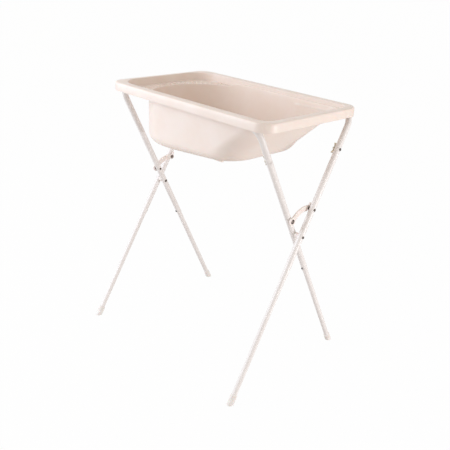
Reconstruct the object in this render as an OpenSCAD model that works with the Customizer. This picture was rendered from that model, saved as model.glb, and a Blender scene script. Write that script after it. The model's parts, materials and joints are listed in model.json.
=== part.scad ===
// Baby bath on a folding X-frame stand.
// Two bent-tube frames cross at a pivot bolt on each side. The front frame is the inner one: its top
// bar lies under the front rim and its feet stand at the rear. The rear frame is the outer one and
// stands on the front feet. The tub hangs on both bars by its rim. An arched link on each side is
// riveted to the inner frame and hooks over a stud on the outer frame, which locks the X open.
// Origin: on the floor under the middle of the tub. +X along the tub to its sloping back rest end,
// +Y to the rear, +Z up. Millimetres.

/* [Tub] */
// Length of the tub over the rim
tub_l = 800; // [700:10:900]
// Width of the tub over the rim
tub_w = 500; // [480:5:540]
// Height of the rim above the floor
rim_h = 1000; // [900:10:1060]
// Wall thickness of the moulding
wall = 3.2; // [2.5:0.1:4]
// Depth of the skirt that hangs over the bars
skirt_h = 32; // [30:1:40]
// Corner radius of the rim in plan
rim_corner_r = 56; // [40:1:60]
// Radius of the rounded outer edge of the rim
rim_edge_r = 6; // [4:0.5:8]
// Radius of the lips inside the rim and at the basin mouth
lip_r = 3; // [2:0.5:4]
// Taper of the skirt over its height
skirt_taper = 0.6; // [0:0.2:1]
// Width of the rim along the long sides
rim_side = 32.5; // [32.5:0.5:36]
// Width of the rim at the foot end
rim_foot = 20; // [20:1:26]
// Width of the rim at the back rest end
rim_rest = 30; // [29:1:36]
// Depth of the ledge round the basin below the rim
shelf_drop = 14; // [11:0.5:15]
// Depth of the soap shelf below the rim
soap_drop = 30; // [26:0.5:31]
// Length of the soap shelf at its middle
shelf_l = 50; // [44:1:60]
// Plan radius of the corners of the soap shelf
shelf_corner_r = 84; // [76:1:88]
// Distance from the end of the basin to where the soap shelf starts to rise to the ledge
ramp_at = 125; // [115:1:135]
// Length of that rise along the tub
ramp_l = 40; // [30:1:60]
// Width of the ledge along the long sides of the basin
side_ledge = 5; // [4.5:0.5:8]
// Width of the ledge at the back rest end
rest_ledge = 8; // [5:1:18]
// Depth of the basin below the shelf
basin_d = 198; // [180:2:206]
// Draft angle of the long basin walls
side_draft = 5; // [5:0.5:8]
// How far the foot end wall leans in over its height
foot_lean = 5; // [1:0.5:12]
// How far the back rest leans in over its height
rest_lean = 127; // [115:1:135]
// Plan radius of the mouth at the foot end
foot_mouth_r = 196; // [180:2:204]
// Plan radius of the floor at the foot end
foot_floor_r = 170; // [150:2:178]
// Plan radius of the mouth at the back rest end
rest_mouth_r = 60; // [50:2:80]
// Plan radius of the floor at the back rest end
rest_floor_r = 120; // [110:5:140]
// Radius between the walls and the floor
floor_r = 36; // [24:2:37]
// Radius between the back rest and the floor
rest_bend_r = 46; // [38:1:60]
// Rise of the floor towards the back rest
seat_rise = 27; // [16:1:32]
// Where the floor starts to rise
rise_from = -115; // [-120:5:-110]
// Where the floor reaches its full rise
rise_to = 230; // [200:5:240]
// Depth of the step in the long walls beside the back rest
step_in = 6; // [3:0.5:8]
// Height of that step below the shelf
step_drop = 28; // [22:1:36]
// Where that step begins
step_from = 137; // [110:1:160]

/* [Feet under the tub] */
// Middle of the two feet along the tub
pad_x = 68; // [60:2:100]
// Length of a foot
pad_l = 56; // [40:2:80]
// Thickness of a foot
pad_t = 14; // [10:1:20]
// Distance of a foot's outer face from the middle of the tub
pad_y = 122; // [100:1:128]
// How far a foot stands out below the level floor
pad_out = 4; // [2:0.5:6]

/* [Soap shelf ribs] */
// Number of ribs on each side of the middle one
rib_n = 13; // [9:1:13]
// Angle between two ribs round the end of the basin
rib_turn = 5.3; // [5:0.1:7]
// Length of a rib
rib_l = 34; // [20:1:36]
// Radius of the rib's round back
rib_r = 3; // [2:0.2:3.4]
// Distance of the ribs from the lip of the basin
rib_gap = 3; // [2:0.5:6]

/* [Drain] */
// Place of the drain along the tub
drain_x = -155; // [-160:1:-150]
// Outer radius of the drain spout
spout_r = 21; // [18:1:23]
// Wall of the drain spout
spout_wall = 2.6; // [2:0.2:3]
// Length of the spout below the floor of the tub
spout_l = 26; // [18:2:30]
// Radius of the flange on the floor
flange_r = 29; // [27:1:32]
// Thickness of the flange
flange_t = 2.5; // [2:0.5:3]
// Radius of the nut under the floor
drain_nut_r = 27; // [25:1:29]
// Height of the nut
drain_nut_h = 9; // [7:1:12]

/* [Tubes] */
// Outer diameter of the upper tubes
tube_d = 22; // [20:0.5:22]
// Wall of all tubes
tube_wall = 1.2; // [1:0.1:1.5]
// Outer diameter of the plug-in lower legs
plug_d = 19; // [17:0.5:19]
// Bend radius of the tube centre line
bend_r = 62; // [50:1:64]
// Distance of the bar's centre line inside the edge of the tub
bar_inset = 15; // [15:0.5:15.5]
// Spread of the feet, front to rear, measured on the leg centre lines
foot_spread = 624; // [560:4:680]
// Half length of the straight bar of the outer frame
bar_half = 321.4; // [319:0.2:323]
// Free slot between the tubes of the two frames
slot = 12.8; // [12.4:0.2:13]
// Outward splay of every leg
splay = 0.7644; // [0.7064:0.0001:0.8727]
// Overlap of a lower leg inside its upper tube
plug_in = 62; // [40:2:80]
// Length from the bar to the end of the inner upper tube
inner_tube_s = 678; // [640:2:700]
// Length from the bar to the end of the outer upper tube
outer_tube_s = 648; // [620:2:700]

/* [Bolted joints of the right legs] */
// Distance of the bolt from the bar
joint_s = 148; // [140:1:170]
// Length of the neck inside the bent tube, on each side of the bolt
neck_half = 28; // [20:1:36]
// Play of the neck in the bent tube
neck_play = 0.15; // [0.05:0.05:0.3]
// Radius of all bolts
bolt_r = 3; // [2.5:0.25:3.5]
// Play of a bolt in its fixed holes
bolt_play = 0.1; // [0.05:0.05:0.2]
// Play of a turning pin
run_play = 0.05; // [0.02:0.01:0.08]
// Radius of the bolt heads
head_r = 5.6; // [5:0.2:6.5]
// Height of the bolt heads
head_h = 3; // [2:0.25:3.5]
// Radius of the round back of the pivot's cap nuts
nut_ball_r = 7.2; // [7:0.1:8]
// Height of the cap nuts
nut_h = 2.8; // [2.4:0.1:3]
// Half length of the wing nut's wings
wing_l = 19; // [14:1:20]
// Radius of the wing nut's hub
hub_r = 5.5; // [5:0.25:6]
// Height of the wing nut's hub
hub_h = 7; // [6:0.5:8]

/* [Links] */
// Distance of the link rivet from the pivot
rivet_d = 68; // [60:1:75]
// Distance of the hook stud from the pivot
stud_d = 105; // [95:1:110]
// Thickness of the link
link_t = 5; // [4:0.25:5.5]
// Width of the link's arm
arm_w = 20; // [14:0.5:21]
// Rise of the arched arm over its chord
arch_rise = 13; // [10:1:16]
// Radius of the eye round the rivet
eye_r = 15; // [12:0.5:16]
// Radius of the hook round the stud
hook_r = 11.5; // [10:0.5:13]
// Radius of the stud where it crosses the link
stud_r = 4; // [3.5:0.25:4.5]
// Play between the hook and the stud
hook_play = 0.35; // [0.3:0.05:0.6]
// Height of the washer between tube and link
washer_t = 3.2; // [2.5:0.1:3.5]
// Radius of that washer
washer_r = 7.5; // [6.5:0.25:8.5]
// Radius of the rivet's wide head
rivet_head_r = 8.6; // [7:0.2:9]
// Radius of the stud's knob
knob_r = 7.5; // [6:0.5:8]
// Thickness of the stud's knob and of the rivet's wide head
knob_t = 2; // [1.5:0.1:2.2]
// Radius of the pivot spacer
spacer_r = 9.5; // [8:0.5:11]

/* [Snap buttons] */
// Distance of a button from the end of the upper tube
button_up = 15; // [12:1:20]
// Radius of the button
button_r = 3.6; // [3:0.1:4]
// Play of the button in its holes
button_play = 0.08; // [0.05:0.01:0.1]
// How far the button stands out of the upper tube
button_out = 3; // [2:0.25:3.5]
// Width of the spring leaf
leaf_w = 8; // [6:0.5:9]
// Thickness of the spring leaf
leaf_t = 0.8; // [0.6:0.1:1]
// Length of the spring leaf
leaf_l = 42; // [30:1:50]

/* [Feet] */
// Length of a foot cap along the leg
cap_l = 36; // [28:1:45]
// Wall of a foot cap
cap_wall = 2.4; // [2:0.1:3]
// Play of the cap on its tube
cap_play = 0.1; // [0.05:0.05:0.2]
// Distance from the tube's end to the floor, along the leg
tube_lift = 11; // [10:0.5:14]

/* [Hidden] */

$fn = 64;
eps = 0.02;
seat_gap = 0.3;
head_seat = 0.1;

tub_col = "#F6E6DA";
metal_col = "#F3EEEC";
dark_col = "#2B2523";
brass_col = "#8A6B45";
link_col = "#EFE8E6";
foot_col = "#E9E2DE";
steel_col = "#B8B8B8";

LEFT = -1;
RIGHT = 1;

// Frame geometry
tube_r = tube_d / 2;
bore_r = tube_r - tube_wall;
plug_r = plug_d / 2;
plug_bore_r = plug_r - tube_wall;
bar_y = tub_w / 2 - bar_inset;
bar_z = rim_h - wall - seat_gap - tube_r;
tilt = atan((bar_y + foot_spread / 2) / bar_z);
pivot_s = bar_y / sin(tilt);
pivot_z = bar_z - bar_y / tan(tilt);
leg_s = bar_z / cos(tilt);
turn = 90 - splay;
tangent = bend_r * tan(turn / 2);
outer_x = bar_half + tangent;
inner_x = outer_x - slot - tube_d;
function leg_x(top_x, s) = top_x + s * tan(splay);

// ---------------------------------------------------------------- tub ----

shelf_z = rim_h - shelf_drop;
mouth_left = -tub_l / 2 + rim_foot + shelf_l;
ramp_from = mouth_left + ramp_at;
mouth_right = tub_l / 2 - rim_rest - rest_ledge;
mouth_half = tub_w / 2 - rim_side - side_ledge;
wall_h = basin_d - floor_r;
side_lean = wall_h * tan(side_draft);
tub_floor_z = shelf_z - basin_d;
rest_slope = atan(rest_lean / (wall_h - seat_rise * rise_share(mouth_right - rest_lean)));

// Points per corner and per long side of one ring of the tub
foot_steps = 12;
rest_steps = 8;
side_steps = 12;

function share(t) = min(1, max(0, t));
function rise_share(x) = share((x - rise_from) / (rise_to - rise_from));
// Height of the ledge round the basin: it lies lower at the soap shelf
function level(x) = rim_h - soap_drop + (soap_drop - shelf_drop) * share((x - ramp_from) / ramp_l);
function reversed(v) = [for (i = [len(v) - 1 : -1 : 0]) v[i]];

// Front half of a rounded rectangle from its left end to its right end. Every point has y < 0.
function half_plan(xl, xr, hw, rl, rr) = concat(
  [for (i = [0 : foot_steps]) let (a = 180 + 90 * i / foot_steps)
    [xl + rl + rl * cos(a), -hw + rl + rl * sin(a)]],
  [for (i = [1 : side_steps - 1]) let (x0 = xl + rl, x1 = xr - rr)
    [x0 + (x1 - x0) * i / side_steps, -hw]],
  [for (i = [0 : rest_steps]) let (a = 270 + 90 * i / rest_steps)
    [xr - rr + rr * cos(a), -hw + rr + rr * sin(a)]]
);
function plan(p) = let (h = half_plan(p[0], p[1], p[2], p[3], p[4]))
  concat(h, [for (q = reversed(h)) [q[0], -q[1]]]);
// A level ring at height z
function ring(p, z) = [for (q = plan(p)) [q[0], q[1], z]];
// A ring that follows the ledge, higher by z
function ledge_ring(p, z) = [for (q = plan(p)) [q[0], q[1], level(q[0]) + z]];
// Three rings on the ledge between the plans p and q, higher by z
function ledge_between(p, q, z) = let (a = plan(p), b = plan(q))
  [for (t = [0.25, 0.5, 0.75]) [for (i = [0 : len(a) - 1]) let (m = a[i] + (b[i] - a[i]) * t)
    [m[0], m[1], level(m[0]) + z]]];
// The plan p made wider all round by e
function grow(p, e) = [p[0] - e, p[1] + e, p[2] + e, p[3] + e, p[4] + e];

rim_plan = [-tub_l / 2, tub_l / 2, tub_w / 2, rim_corner_r, rim_corner_r];
frame_plan = [
  -tub_l / 2 + rim_foot, tub_l / 2 - rim_rest, tub_w / 2 - rim_side,
  shelf_corner_r, rim_corner_r - rim_side / 2
];
mouth_plan = [mouth_left, mouth_right, mouth_half, foot_mouth_r, rest_mouth_r];
// Plan of the basin wall at the share f of its height
function wall_plan(f) = [
  mouth_left + foot_lean * f, mouth_right - rest_lean * f, mouth_half - side_lean * f,
  foot_mouth_r + (foot_floor_r - foot_mouth_r) * f, rest_mouth_r + (rest_floor_r - rest_mouth_r) * f
];
step_share = step_drop / wall_h;
step_half = 0.012;
wall_shares = [0.04, step_share - step_half, step_share + step_half, 0.42, 0.62, 0.82];
fillet_angles = [0, 22.5, 45, 67.5, 90];

// The ring of plan p inside the basin, at the share k of the way from the ledge to the height z: it
// follows the sloping floor by that share, and below the step it is narrower beside the back rest
function basin_ring(p, z, k) = let (low = k > step_share ? step_in / mouth_half : 0)
  [for (q = plan(p)) [
    q[0],
    q[1] * (1 - low * share((q[0] - step_from) / step_in + 0.5)),
    (1 - k) * level(q[0]) + k * (z + seat_rise * rise_share(q[0]))
  ]];
function wall_row(f, e) = basin_ring(grow(wall_plan(f), e), shelf_z - wall_h, f);
// How far the back rest has run in at the depth d of the floor fillet: first it keeps its slope,
// then it turns into the floor with the radius r
function rest_run(d, r, depth) = let (d0 = max(0, depth - r * (1 - sin(rest_slope))))
  d < d0 ? d * tan(rest_slope)
    : d0 * tan(rest_slope) + r * cos(rest_slope)
      - r * cos(asin(min(1, sin(rest_slope) + (d - d0) / r)));
// One ring of the floor fillet, at the angle a, on the skin that lies e outside the basin
function fillet_row(a, e) = let (w = grow(wall_plan(1), e), r = floor_r + e, in = r * (1 - cos(a)),
    run = rest_run(r * sin(a), rest_bend_r + e, r))
  basin_ring([w[0] + in, w[1] - run, w[2] - in, w[3] - in, w[4] - (in + run) / 2],
    shelf_z - wall_h - r * sin(a), 1);

basin_rows = concat(
  [for (a = reversed(fillet_angles)) fillet_row(a, 0)],
  [for (f = reversed(wall_shares)) wall_row(f, 0)],
  [ledge_ring(mouth_plan, -lip_r),
   ledge_ring(grow(mouth_plan, 0.3 * lip_r), -0.3 * lip_r),
   ledge_ring(grow(mouth_plan, lip_r), 0)]
);
ledge_rows = ledge_between(grow(mouth_plan, lip_r), frame_plan, 0);
rim_rows = [
  ledge_ring(frame_plan, 0),
  ring(frame_plan, rim_h - lip_r),
  ring(grow(frame_plan, 0.3 * lip_r), rim_h - 0.3 * lip_r),
  ring(grow(frame_plan, lip_r), rim_h),
  ring(grow(rim_plan, -skirt_taper - rim_edge_r), rim_h),
  ring(grow(rim_plan, -skirt_taper - 0.62 * rim_edge_r), rim_h - 0.08 * rim_edge_r),
  ring(grow(rim_plan, -skirt_taper - 0.3 * rim_edge_r), rim_h - 0.3 * rim_edge_r),
  ring(grow(rim_plan, -skirt_taper - 0.08 * rim_edge_r), rim_h - 0.62 * rim_edge_r),
  ring(grow(rim_plan, -skirt_taper), rim_h - rim_edge_r),
  ring(rim_plan, rim_h - skirt_h)
];
under_rows = concat(
  [ring(grow(rim_plan, -wall), rim_h - skirt_h),
   ring(grow(rim_plan, -skirt_taper - wall), rim_h - wall),
   ring(grow(frame_plan, wall), rim_h - wall),
   ledge_ring(grow(frame_plan, wall), -wall)],
  ledge_between(grow(frame_plan, wall), grow(mouth_plan, wall), -wall),
  [ledge_ring(grow(mouth_plan, wall), -wall)],
  [for (f = [for (s = wall_shares) if (s * wall_h > 2 * wall) s]) wall_row(f, wall)],
  [for (a = fillet_angles) fillet_row(a, wall)]
);

// Closed skin through rings with the same number of points; both ends are closed across the tub
module skin(rows) {
  n = len(rows[0]);
  m = len(rows);
  h = n / 2;
  sides = [for (r = [0 : m - 2]) for (i = [0 : n - 1]) let (j = (i + 1) % n)
    each [[r * n + i, r * n + j, (r + 1) * n + j], [r * n + i, (r + 1) * n + j, (r + 1) * n + i]]];
  function cap(base, flip) = [for (i = [0 : h - 2]) let (a = base + i, b = base + i + 1,
      c = base + n - 2 - i, d = base + n - 1 - i)
    each flip ? [[a, d, c], [a, c, b]] : [[a, b, c], [a, c, d]]];
  polyhedron(points = [for (row = rows) each row],
    faces = concat(sides, cap(0, true), cap((m - 1) * n, false)), convexity = 6);
}

drain_hole_r = spout_r + seat_gap;
under_z = tub_floor_z - wall;

// The two moulded feet under the rising floor stand a little lower than the level floor
module tub_feet() {
  x0 = pad_x - pad_l / 2;
  x1 = pad_x + pad_l / 2;
  bottom = under_z - pad_out;
  function top(x) = under_z + wall / 2 + seat_rise * rise_share(x);
  for (side = [-1, 1])
    translate([0, side * (pad_y - pad_t / 2) + pad_t / 2, 0]) rotate([90, 0, 0]) linear_extrude(pad_t)
      polygon([[x0, bottom], [x1, bottom], [x1, top(x1)], [x0, top(x0)]]);
}

// Short ribs on the soap shelf, round the end of the basin
module soap_ribs() {
  reach = foot_mouth_r + lip_r + rib_gap;
  translate([mouth_left + foot_mouth_r, 0, 0]) {
    rotate(180) soap_rib(reach, rib_l);
    for (side = [-1, 1])
      translate([0, side * (mouth_half - foot_mouth_r), 0])
        for (a = [0 : rib_turn : rib_turn * (rib_n - 1)])
          rotate(180 - side * a) soap_rib(reach, min(rib_l, foot_mouth_r / max(sin(a), eps) - reach));
  }
}

module soap_rib(reach, l) {
  translate([reach, 0, rim_h - soap_drop])
    difference() {
      rotate([0, 90, 0]) cylinder(r = rib_r, h = l, $fn = 16);
      translate([-1, -rib_r - 1, -2 * rib_r - wall / 2]) cube([l + 2, 2 * rib_r + 2, 2 * rib_r]);
    }
}

module tub() {
  color(tub_col)
    difference() {
      union() {
        skin(concat(basin_rows, ledge_rows, rim_rows, under_rows));
        tub_feet();
        soap_ribs();
      }
      translate([drain_x, 0, under_z - 1]) cylinder(r = drain_hole_r, h = wall + 2);
    }
}

// ---------------------------------------------------------------- drain --

module drain_spout() {
  spout_bore = spout_r - spout_wall;
  color(tub_col)
    translate([drain_x, 0, tub_floor_z])
      difference() {
        union() {
          cylinder(r1 = flange_r, r2 = flange_r - 1, h = flange_t);
          translate([0, 0, -wall - spout_l]) cylinder(r = spout_r, h = wall + spout_l + flange_t / 2);
        }
        translate([0, 0, -wall - spout_l - 1]) cylinder(r = spout_bore, h = wall + spout_l + flange_t + 2);
      }
}

module drain_nut() {
  color(tub_col)
    translate([drain_x, 0, tub_floor_z - wall - drain_nut_h])
      difference() {
        union() {
          cylinder(r = drain_nut_r, h = drain_nut_h);
          for (a = [0 : 45 : 315])
            rotate(a) translate([drain_nut_r - 1, -2, 0]) cube([2.5, 4, drain_nut_h - 2]);
        }
        translate([0, 0, -1]) cylinder(r = spout_r + bolt_play, h = drain_nut_h + 2);
      }
}

module drain_plug() {
  plug_top_r = spout_r - spout_wall + 3;
  color(foot_col)
    translate([drain_x, 0, tub_floor_z + flange_t]) {
      translate([0, 0, seat_gap / 2]) cylinder(r1 = plug_top_r, r2 = plug_top_r - 2, h = 3);
      translate([0, 0, -12]) cylinder(r1 = spout_r - spout_wall - 1.2, r2 = spout_r - spout_wall - 0.4,
        h = 12 + seat_gap / 2 + eps);
      translate([0, 0, 3]) cylinder(r = 3.2, h = 9);
      translate([0, 0, 12]) sphere(r = 5.5);
    }
}

// --------------------------------------------------------------- frames --
// Frame coordinates: the bar's centre line lies on X, the legs point to -Z and lie in the XZ plane.

module outer_place() {
  translate([0, bar_y, bar_z]) rotate([-tilt, 0, 0]) children();
}

module inner_place() {
  translate([0, -bar_y, bar_z]) rotate([tilt, 0, 0]) children();
}

module sided(side) {
  if (side == LEFT) mirror([1, 0, 0]) children();
  else children();
}

// Leg coordinates: on the centre line of a leg, at the distance s from the bar, with -Z down the leg
module on_leg(top_x, side, s) {
  sided(side) translate([top_x, 0, 0]) rotate([0, -splay, 0]) translate([0, 0, -s]) children();
}

// A straight pipe of outer radius r down the leg, between the distances s0 and s1
module leg_pipe(top_x, side, s0, s1, r) {
  on_leg(top_x, side, s1) pipe(s1 - s0, r);
}

module pipe(h, r) {
  difference() {
    cylinder(r = r, h = h);
    translate([0, 0, -1]) cylinder(r = r - tube_wall, h = h + 2);
  }
}

// The bend from the bar into a leg, and the leg itself down to the distance end_s from the bar
module bent_leg(half, side, end_s) {
  sided(side)
    translate([half, 0, -bend_r]) rotate([90, 0, 0]) rotate([0, 0, splay]) {
      rotate_extrude(angle = turn) translate([bend_r, 0]) difference() {
        circle(r = tube_r);
        circle(r = bore_r);
      }
      translate([bend_r, 0, 0]) rotate([90, 0, 0]) pipe(end_s - tangent, tube_r);
    }
}

module bar(half) {
  translate([-half, 0, 0]) rotate([0, 90, 0]) pipe(2 * half, tube_r);
}

// A hole along X through a leg at the height -s of the frame
module cross_hole(side, top_x, s, r) {
  sided(side) translate([leg_x(top_x, s) - tube_d, 0, -s]) rotate([0, 90, 0]) cylinder(r = r, h = 2 * tube_d);
}

// The round hole of a snap button: it opens away from the other frame
module button_hole(top_x, side, s, out) {
  on_leg(top_x, side, s) rotate([out * 90, 0, 0]) cylinder(r = button_r + button_play, h = tube_r + 2);
}

FRONT = 1;
REAR = -1;

stub_end_s = joint_s + neck_half;

// One bent tube: the whole left leg, the bar, and the stub that takes the right leg
module bent_tube(half, left_end_s, out, link_d) {
  top_x = half + tangent;
  difference() {
    union() {
      bar(half);
      bent_leg(half, LEFT, left_end_s);
      bent_leg(half, RIGHT, stub_end_s);
    }
    cross_hole(RIGHT, top_x, joint_s, bolt_r + bolt_play);
    cross_hole(LEFT, top_x, pivot_s, bolt_r + run_play);
    cross_hole(LEFT, top_x, pivot_s - link_d, bolt_r + run_play);
    button_hole(top_x, LEFT, left_end_s - button_up, out);
  }
}

// The right upper leg: its neck sits in the stub of the bent tube and the bolt crosses both
module upper_leg(top_x, end_s, out, link_d) {
  neck_r = bore_r - neck_play;
  difference() {
    union() {
      leg_pipe(top_x, RIGHT, stub_end_s, end_s, tube_r);
      on_leg(top_x, RIGHT, stub_end_s + 3) difference() {
        cylinder(r = neck_r, h = 2 * neck_half + 3);
        translate([0, 0, -1]) cylinder(r = neck_r - tube_wall, h = 2 * neck_half + 5);
      }
      on_leg(top_x, RIGHT, stub_end_s + 3) difference() {
        cylinder(r = bore_r + eps, h = 3);
        translate([0, 0, -1]) cylinder(r = neck_r - tube_wall, h = 5);
      }
    }
    cross_hole(RIGHT, top_x, joint_s, bolt_r + bolt_play);
    cross_hole(RIGHT, top_x, pivot_s, bolt_r + run_play);
    cross_hole(RIGHT, top_x, pivot_s - link_d, bolt_r + run_play);
    button_hole(top_x, RIGHT, end_s - button_up, out);
  }
}

module lower_leg(top_x, side, end_s, out) {
  difference() {
    leg_pipe(top_x, side, end_s - plug_in, leg_s - tube_lift, plug_r);
    button_hole(top_x, side, end_s - button_up, out);
  }
}

module rear_tube() { color(metal_col) outer_place() bent_tube(bar_half, outer_tube_s, REAR, stud_d); }
module front_tube() {
  color(metal_col) inner_place() bent_tube(bar_half - slot - tube_d, inner_tube_s, FRONT, rivet_d);
}
module outer_leg_right() { color(metal_col) outer_place() upper_leg(outer_x, outer_tube_s, REAR, stud_d); }
module inner_leg_right() { color(metal_col) inner_place() upper_leg(inner_x, inner_tube_s, FRONT, rivet_d); }
module outer_lower(side) { color(metal_col) outer_place() lower_leg(outer_x, side, outer_tube_s, REAR); }
module inner_lower(side) { color(metal_col) inner_place() lower_leg(inner_x, side, inner_tube_s, FRONT); }

// ----------------------------------------------------------------- feet --

// A cap pushed on the tube's end and cut level with the floor
module cap(top_x, side) {
  cap_r = plug_r + cap_play + cap_wall;
  on_leg(top_x, side, leg_s + tube_r) difference() {
    union() {
      cylinder(r = cap_r, h = tube_r + cap_l - 2);
      translate([0, 0, tube_r + cap_l - 2]) cylinder(r1 = cap_r, r2 = cap_r - 1, h = 2);
    }
    translate([0, 0, tube_r + tube_lift]) cylinder(r = plug_r + cap_play, h = cap_l + 10);
  }
}

module floor_cut() {
  difference() {
    children();
    translate([-tub_l, -tub_l, -tub_l]) cube([2 * tub_l, 2 * tub_l, tub_l]);
  }
}

module outer_foot(side) { color(foot_col) floor_cut() outer_place() cap(outer_x, side); }
module inner_foot(side) { color(foot_col) floor_cut() inner_place() cap(inner_x, side); }

// -------------------------------------------------------------- fasteners --
// Pin coordinates: the pin lies along +X at the height -s of its frame, x is measured from the
// middle of the tub.

module x_pin(side, s, x0, x1, r) {
  sided(side) translate([x0, 0, -s]) rotate([0, 90, 0]) cylinder(r = r, h = x1 - x0);
}

// A low dome on the end of a pin; out = 1 for a head that faces away from the tub
module x_dome(side, s, x, out, r, h) {
  ball = (r * r + h * h) / (2 * h);
  sided(side) translate([x, 0, -s]) rotate([0, out * 90, 0])
    rotate_extrude() intersection() {
      translate([0, h - ball]) circle(r = ball, $fn = 96);
      square([r, h]);
    }
}

module joint_bolt(top_x) {
  outer_face = leg_x(top_x, joint_s) + tube_r;
  inner_face = outer_face - tube_d;
  color(dark_col) {
    x_pin(RIGHT, joint_s, inner_face - hub_h - 1.5, outer_face + head_seat + eps, bolt_r);
    x_dome(RIGHT, joint_s, outer_face + head_seat, 1, head_r, head_h);
  }
}

module wing_nut(top_x) {
  inner_face = leg_x(top_x, joint_s) - tube_r;
  color(brass_col)
    translate([inner_face - head_seat, 0, -joint_s]) rotate([0, -90, 0]) difference() {
      union() {
        cylinder(r1 = hub_r + 0.5, r2 = hub_r - 1, h = hub_h);
        for (flip = [0, 180]) rotate(flip)
          hull() {
            translate([hub_r - 1, -1.2, 2]) cube([1, 2.4, 4]);
            translate([wing_l - 5, 1.2, 8]) rotate([90, 0, 0]) cylinder(r = 5, h = 2.4, $fn = 28);
          }
      }
      translate([0, 0, -1]) cylinder(r = bolt_r + bolt_play, h = hub_h + 10);
    }
}

pivot_inner_face = leg_x(inner_x, pivot_s) - tube_r;
pivot_outer_face = leg_x(outer_x, pivot_s) + tube_r;

module pivot_bolts() {
  color(dark_col) outer_place() for (side = [LEFT, RIGHT]) {
    x_pin(side, pivot_s, pivot_inner_face - head_h / 2, pivot_outer_face + head_seat + eps, bolt_r);
    x_dome(side, pivot_s, pivot_outer_face + head_seat, 1, head_r, head_h);
  }
}

module pivot_nuts() {
  color(dark_col) outer_place() for (side = [LEFT, RIGHT])
    sided(side) translate([pivot_inner_face - seat_gap, 0, -pivot_s]) rotate([0, -90, 0])
      difference() {
        rotate_extrude() intersection() {
          translate([0, nut_h - nut_ball_r]) circle(r = nut_ball_r, $fn = 96);
          square([head_r, nut_h]);
        }
        translate([0, 0, -1]) cylinder(r = bolt_r, h = head_h + 0.2 - seat_gap);
      }
}

// The spacer is a plain face on the turning inner tube and a saddle on the outer one
module pivot_spacers() {
  face = leg_x(inner_x, pivot_s) + tube_r + seat_gap;
  seat = leg_x(outer_x, pivot_s);
  color(link_col) outer_place() for (side = [LEFT, RIGHT])
    difference() {
      x_pin(side, pivot_s, face, seat, spacer_r);
      x_pin(side, pivot_s, face - 1, seat + 1, bolt_r + bolt_play);
      on_leg(outer_x, side, pivot_s + 2 * spacer_r) cylinder(r = tube_r, h = 4 * spacer_r);
    }
}

// ------------------------------------------------------------------ links --

rivet_s = pivot_s - rivet_d;
stud_s = pivot_s - stud_d;
link_x = leg_x(inner_x, rivet_s) + tube_r + washer_t;
// Rivet and stud in the side view, as y and z from the pivot
rivet_at = [-rivet_d * sin(tilt), rivet_d * cos(tilt)];
stud_at = [stud_d * sin(tilt), stud_d * cos(tilt)];
link_l = norm(stud_at - rivet_at);
link_angle = atan2(stud_at[1] - rivet_at[1], stud_at[0] - rivet_at[0]);
arch_r = (link_l * link_l / 4 + arch_rise * arch_rise) / (2 * arch_rise);
arch_half = asin(link_l / 2 / arch_r);
// Way of the stud out of the hook when the link lifts twice as fast as the frame folds
exit_angle = 231;
tab_angle = 40;
tab_l = 21;
tab_w = 6;

// Link coordinates: the rivet at the origin, the stud on +X, the arch towards +Y, the plate on z 0
module arch_outline() {
  far = 2 * arch_r;
  translate([link_l / 2, arch_rise - arch_r]) intersection() {
    difference() {
      circle(r = arch_r + arm_w / 2);
      circle(r = arch_r - arm_w / 2);
    }
    polygon([[0, 0], [far * tan(arch_half), far], [-far * tan(arch_half), far]]);
  }
}

module link_plate() {
  slot_half = stud_r + hook_play;
  tab_end = tab_l - tab_w / 2;
  linear_extrude(link_t) difference() {
    union() {
      circle(r = eye_r);
      translate([link_l, 0]) circle(r = hook_r);
      arch_outline();
      translate([link_l, 0]) rotate(tab_angle) translate([0, -tab_w / 2]) square([tab_end, tab_w]);
      translate([link_l, 0]) rotate(tab_angle) translate([tab_end, 0]) circle(r = tab_w / 2);
    }
    circle(r = bolt_r + run_play);
    translate([link_l, 0]) circle(r = slot_half);
    translate([link_l, 0]) rotate(exit_angle) translate([0, -slot_half])
      square([2 * hook_r, 2 * slot_half]);
  }
}

module link(side) {
  color(link_col)
    sided(side) translate([link_x, rivet_at[0], pivot_z + rivet_at[1]])
      rotate([90, 0, 90]) rotate(link_angle) link_plate();
}

module link_rivets() {
  inner_face = leg_x(inner_x, rivet_s) - tube_r;
  head_x = link_x + link_t + seat_gap;
  color(dark_col) inner_place() for (side = [LEFT, RIGHT]) {
    x_pin(side, rivet_s, inner_face - head_seat - eps, head_x + eps, bolt_r);
    x_dome(side, rivet_s, inner_face - head_seat, -1, head_r - 1, head_h - 0.8);
    x_dome(side, rivet_s, head_x, 1, rivet_head_r, knob_t);
  }
}

module link_washers() {
  color(dark_col) inner_place() for (side = [LEFT, RIGHT])
    difference() {
      x_pin(side, rivet_s, leg_x(inner_x, rivet_s), link_x - seat_gap, washer_r);
      x_pin(side, rivet_s, 0, link_x + 1, bolt_r + bolt_play);
      on_leg(inner_x, side, rivet_s + tube_d) cylinder(r = tube_r, h = 2 * tube_d);
    }
}

stud_face = leg_x(outer_x, stud_s) - tube_r;
shoulder_x = link_x + link_t + seat_gap;

module hook_studs() {
  outer_face = leg_x(outer_x, stud_s) + tube_r;
  color(dark_col) outer_place() for (side = [LEFT, RIGHT]) {
    x_pin(side, stud_s, shoulder_x - eps, outer_face + head_seat + eps, bolt_r);
    x_dome(side, stud_s, outer_face + head_seat, 1, head_r, head_h);
    x_pin(side, stud_s, shoulder_x, stud_face - head_seat, 6);
    x_pin(side, stud_s, link_x - seat_gap, shoulder_x, stud_r);
  }
}

module stud_knobs() {
  color(dark_col) outer_place() for (side = [LEFT, RIGHT])
    sided(side) translate([link_x - seat_gap, 0, -stud_s]) rotate([0, -90, 0])
      cylinder(r1 = knob_r, r2 = knob_r - knob_t / 2, h = knob_t);
}

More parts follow.
